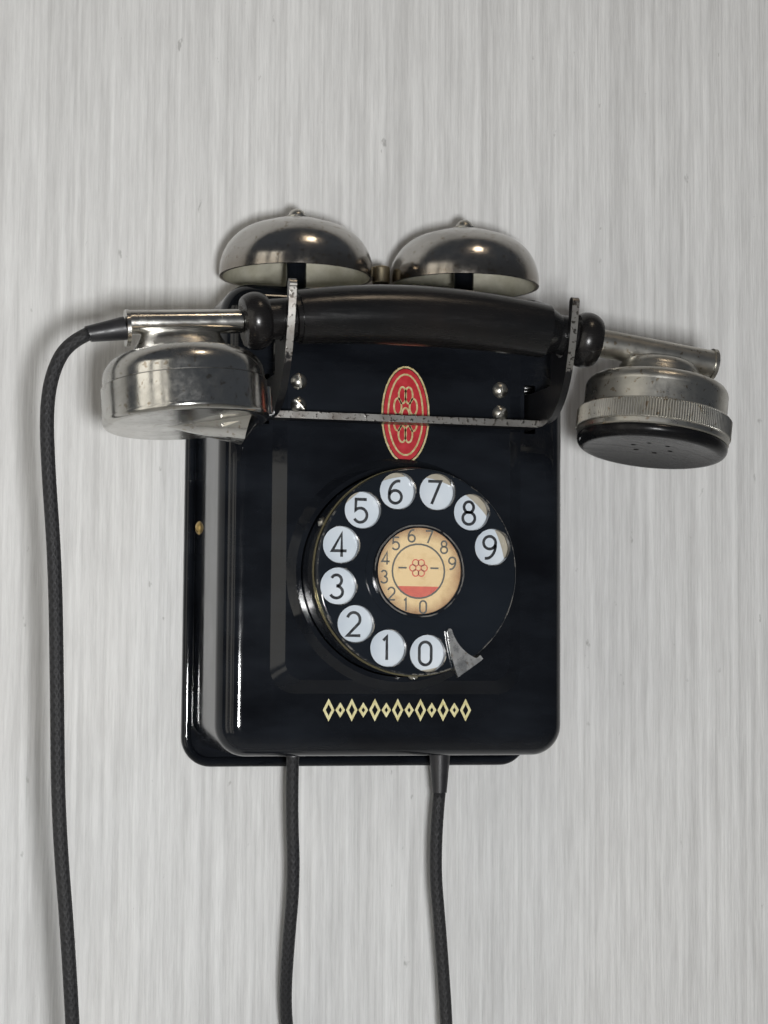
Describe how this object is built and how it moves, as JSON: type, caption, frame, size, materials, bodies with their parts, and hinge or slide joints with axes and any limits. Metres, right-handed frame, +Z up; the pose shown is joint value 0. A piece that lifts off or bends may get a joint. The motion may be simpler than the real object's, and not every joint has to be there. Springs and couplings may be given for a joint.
{
  "type": "rotary wall telephone",
  "caption": "Wall telephone: enamelled steel case with gongs on top, rotary dial, and a handset lying across a fork cradle.",
  "frame": {"origin": "centre of the wall plate's back face, on the wall", "axes": "+X to the right as the dial is faced, +Z up, +Y into the wall; the telephone is at negative Y"},
  "size_m": [0.2603, 0.1366, 0.5008],
  "materials": {
    "black_enamel": "glossy stove enamel",
    "cradle_steel": "black enamel worn to steel at the edges",
    "nickel": "warm nickel plate, mottled",
    "brass": "aged",
    "bright_steel": "satin",
    "iron": "dull",
    "ebonite": "polished ebonite",
    "black_rubber": "satin",
    "braid": "braided cotton, black",
    "white_enamel": "vitreous enamel",
    "card": "aged cream card",
    "celluloid": "clear",
    "copper": "enamelled copper wire",
    "paxolin": "laminated insulation",
    "carbon": "moulded"
  },
  "bodies": {
    "root": {"wall_plate": "black_enamel", "cover": "black_enamel", "cover_screws": "brass", "hook_brackets": "bright_steel", "hook_pins": "bright_steel", "hook_springs": "bright_steel", "cradle_screws": "nickel", "hook_contacts": "brass", "gong_left": "nickel", "gong_right": "nickel", "gong_posts": "black_enamel", "gong_screws": "nickel", "ringer_frame": "bright_steel", "ringer_cores": "iron", "ringer_coils": "copper", "ringer_magnet": "iron", "armature_pin": "bright_steel", "dial_case": "black_enamel", "dial_screws": "nickel", "dial_frame": "brass", "pulse_contacts": "brass", "dial_spring": "bright_steel", "number_plate": "white_enamel", "finger_stop": "nickel", "induction_coil": "copper", "capacitor": "iron", "terminal_block": "paxolin", "terminal_screws": "brass", "case_relief": "black_rubber", "handset_cord": "braid", "line_cord": "braid", "line_grommet": "black_rubber", "line_coil": "braid", "line_plug": "ebonite"},
    "cradle": {"cradle": "cradle_steel"},
    "clapper": {"armature": "iron", "clapper_rod": "bright_steel", "hammer": "brass"},
    "dial": {"finger_wheel": "black_enamel", "card_holder": "black_enamel", "dial_card": "card", "card_window": "celluloid", "dial_shaft": "bright_steel", "main_gear": "brass"},
    "pulse_shaft": {"pulse_pinion": "bright_steel", "pulse_cam": "paxolin"},
    "governor": {"governor": "brass"},
    "handset": {"handle": "ebonite", "transmitter_tube": "nickel", "receiver_tube": "nickel", "transmitter_housing": "nickel", "transmitter_cap": "nickel", "carbon_capsule": "carbon", "receiver_housing": "nickel", "receiver_ring": "nickel", "ear_cap": "ebonite", "diaphragm": "iron", "receiver_magnet": "iron", "receiver_coils": "copper", "handset_relief": "black_rubber"}
  },
  "joints": [
    {"name": "dial_turn", "type": "hinge", "parent": "root", "child": "dial", "pos_m": [0, -0.09, -0.017], "axis": [0, 1, 0], "range_deg": [0, 325], "stiffness_Nm_per_rad": 0.006, "springref_deg": -114.59},
    {"name": "pulse_turn", "type": "hinge", "parent": "root", "child": "pulse_shaft", "pos_m": [-0.02474, -0.08, -0.00799], "axis": [0, 1, 0], "range_deg": [-1300, 0]},
    {"name": "governor_turn", "type": "hinge", "parent": "root", "child": "governor", "pos_m": [-0.02631, -0.07, -0.01793], "axis": [0, 1, 0], "range_deg": [0, 3900]},
    {"name": "clapper_swing", "type": "hinge", "parent": "root", "child": "clapper", "pos_m": [0, -0.0345, 0.082], "axis": [0, 1, 0], "range_deg": [-1.5, 1.5], "stiffness_Nm_per_rad": 0.02},
    {"name": "handset_lift", "type": "slide", "parent": "root", "child": "handset", "axis": [0, 0, 1], "range_m": [0, 0.04], "deforming": ["handset_cord"]},
    {"name": "cradle_rise", "type": "hinge", "parent": "root", "child": "cradle", "pos_m": [0, -0.024, 0.056], "axis": [-1, 0, 0], "range_deg": [0, 4], "stiffness_Nm_per_rad": 0.5, "deforming": ["hook_springs"]}
  ],
  "couplings": [
    {"joint": "pulse_turn", "follows": "dial_turn", "ratio": -4},
    {"joint": "governor_turn", "follows": "dial_turn", "ratio": 12},
    {"joint": "cradle_rise", "follows": "handset_lift", "rad_per_m": 1.7436}
  ]
}
